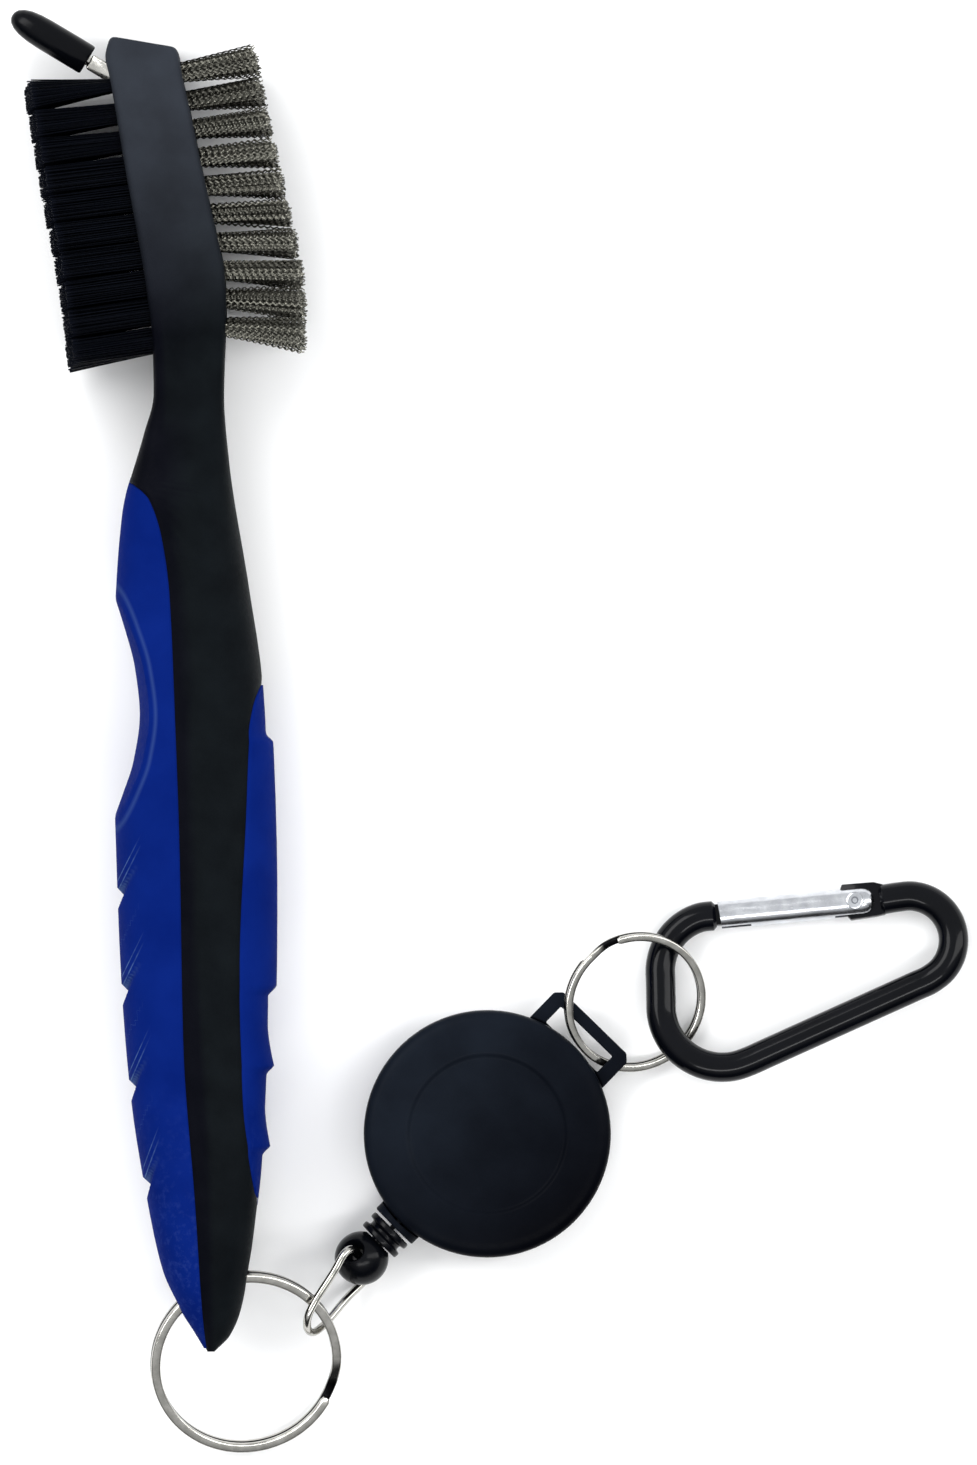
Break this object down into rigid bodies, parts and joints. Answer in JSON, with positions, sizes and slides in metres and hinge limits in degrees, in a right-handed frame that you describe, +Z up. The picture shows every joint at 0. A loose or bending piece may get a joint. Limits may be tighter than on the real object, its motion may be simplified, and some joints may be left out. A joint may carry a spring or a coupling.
{
  "type": "club groove brush",
  "caption": "Hand brush with soft-grip handle, nylon and steel wire tufts, folding capped spike, and a retractable reel with carabiner clip on split rings.",
  "frame": {"origin": "middle of the whole object's footprint, at the surface that it lies on", "axes": "+Y from the tail ring towards the brush head, +X from the brush towards the reel and carabiner, +Z up from the surface; the brush lies on its side"},
  "size_m": [0.1417, 0.2136, 0.0249],
  "materials": {
    "core_plastic": "fine-grained black handle plastic with light handling scuffs",
    "soft_grip": "deep blue soft-touch rubber, satin",
    "nylon": "black nylon filament tufts",
    "crimped_wire": "crimped fine steel wire, warm grey, slightly dull",
    "plated_steel": "nickel-plated spring steel, bright with fine scratches",
    "black_fitting": "black moulded plastic, semi-gloss",
    "reel_casing": "black moulded plastic, satin top with a smooth edge",
    "cord": "black braided nylon cord",
    "spool_plastic": "natural white acetal",
    "spring_steel": "blued spring steel",
    "black_enamel": "glossy black anodised aluminium rod",
    "gate_aluminium": "bright drawn aluminium"
  },
  "bodies": {
    "brush": {"handle_core": "core_plastic", "front_grip": "soft_grip", "back_grip": "soft_grip", "nylon_tufts_row_01": "nylon", "nylon_tufts_row_02": "nylon", "nylon_tufts_row_03": "nylon", "nylon_tufts_row_04": "nylon", "nylon_tufts_row_05": "nylon", "nylon_tufts_row_06": "nylon", "nylon_tufts_row_07": "nylon", "nylon_tufts_row_08": "nylon", "nylon_tufts_row_09": "nylon", "nylon_tufts_row_10": "nylon", "steel_tufts_row_01": "crimped_wire", "steel_tufts_row_02": "crimped_wire", "steel_tufts_row_03": "crimped_wire", "steel_tufts_row_04": "crimped_wire", "steel_tufts_row_05": "crimped_wire", "steel_tufts_row_06": "crimped_wire", "steel_tufts_row_07": "crimped_wire", "steel_tufts_row_08": "crimped_wire", "steel_tufts_row_09": "crimped_wire", "steel_tufts_row_10": "crimped_wire", "spike_pivot_pin": "plated_steel"},
    "spike": {"spike_blade": "plated_steel"},
    "cap": {"spike_cap": "black_fitting"},
    "handle_ring": {"handle_split_ring": "plated_steel"},
    "link": {"wire_link": "plated_steel"},
    "cord_end": {"cord_ball": "black_fitting", "ribbed_sleeve": "black_fitting", "cord_lead": "cord"},
    "reel": {"reel_front_shell": "reel_casing", "reel_back_shell": "reel_casing", "power_spring": "spring_steel"},
    "reel_spool": {"spool": "spool_plastic", "wound_cord": "cord"},
    "reel_ring": {"reel_split_ring": "plated_steel"},
    "carabiner": {"carabiner_body": "black_enamel", "gate_rivet": "gate_aluminium"},
    "gate": {"gate_tube": "gate_aluminium", "gate_latch_pin": "plated_steel", "gate_plunger": "plated_steel", "gate_spring": "spring_steel"}
  },
  "joints": [
    {"name": "spike_fold", "type": "hinge", "parent": "brush", "child": "spike", "pos_m": [-0.0518, 0.0938, 0.0125], "axis": [0, 0, 1], "range_deg": [-62, 3]},
    {"name": "cap_pull", "type": "slide", "parent": "spike", "child": "cap", "axis": [-0.8563, 0.5165, 0], "range_m": [0, 0.016]},
    {"name": "handle_ring_swing", "type": "hinge", "parent": "brush", "child": "handle_ring", "pos_m": [-0.0406, -0.08225, 0.0125], "axis": [0.9397, 0.342, 0], "range_deg": [-100, 1.5]},
    {"name": "link_swing", "type": "hinge", "parent": "handle_ring", "child": "link", "pos_m": [-0.02524, -0.08642, 0.00879], "axis": [-0.5567, 0.7482, 0.361], "range_deg": [-40, 40]},
    {"name": "cord_end_turn", "type": "hinge", "parent": "link", "child": "cord_end", "pos_m": [-0.01918, -0.07873, 0.0053], "axis": [-0.3237, 0.3271, 0.8878], "range_deg": [-60, 30]},
    {"name": "cord_pull", "type": "slide", "parent": "cord_end", "child": "reel", "axis": [0.7108, 0.7034, 0], "range_m": [0, 0.6], "stiffness_N_per_m": 1.5, "springref_m": -0.6, "deforming": ["cord_lead"]},
    {"name": "spool_turn", "type": "hinge", "parent": "reel", "child": "reel_spool", "pos_m": [-0.00056, -0.0603, 0.0053], "axis": [0, 0, -1], "range_deg": [-10, 2860]},
    {"name": "reel_ring_swing", "type": "hinge", "parent": "reel", "child": "reel_ring", "pos_m": [0.01478, -0.04453, 0.0053], "axis": [-0.7169, 0.6972, 0], "range_deg": [-40, 4]},
    {"name": "carabiner_swing", "type": "hinge", "parent": "reel_ring", "child": "carabiner", "pos_m": [0.02675, -0.03847, 0.00322], "axis": [-0.0932, 0.9859, -0.1392], "range_deg": [-60, 8]},
    {"name": "gate_open", "type": "hinge", "parent": "carabiner", "child": "gate", "pos_m": [0.05391, -0.02605, 0.00276], "axis": [-0.0131, 0.1386, 0.9903], "range_deg": [0, 28], "stiffness_Nm_per_rad": 0.012, "springref_deg": -20.05}
  ],
  "couplings": [
    {"joint": "spool_turn", "follows": "cord_pull", "rad_per_m": 81}
  ]
}
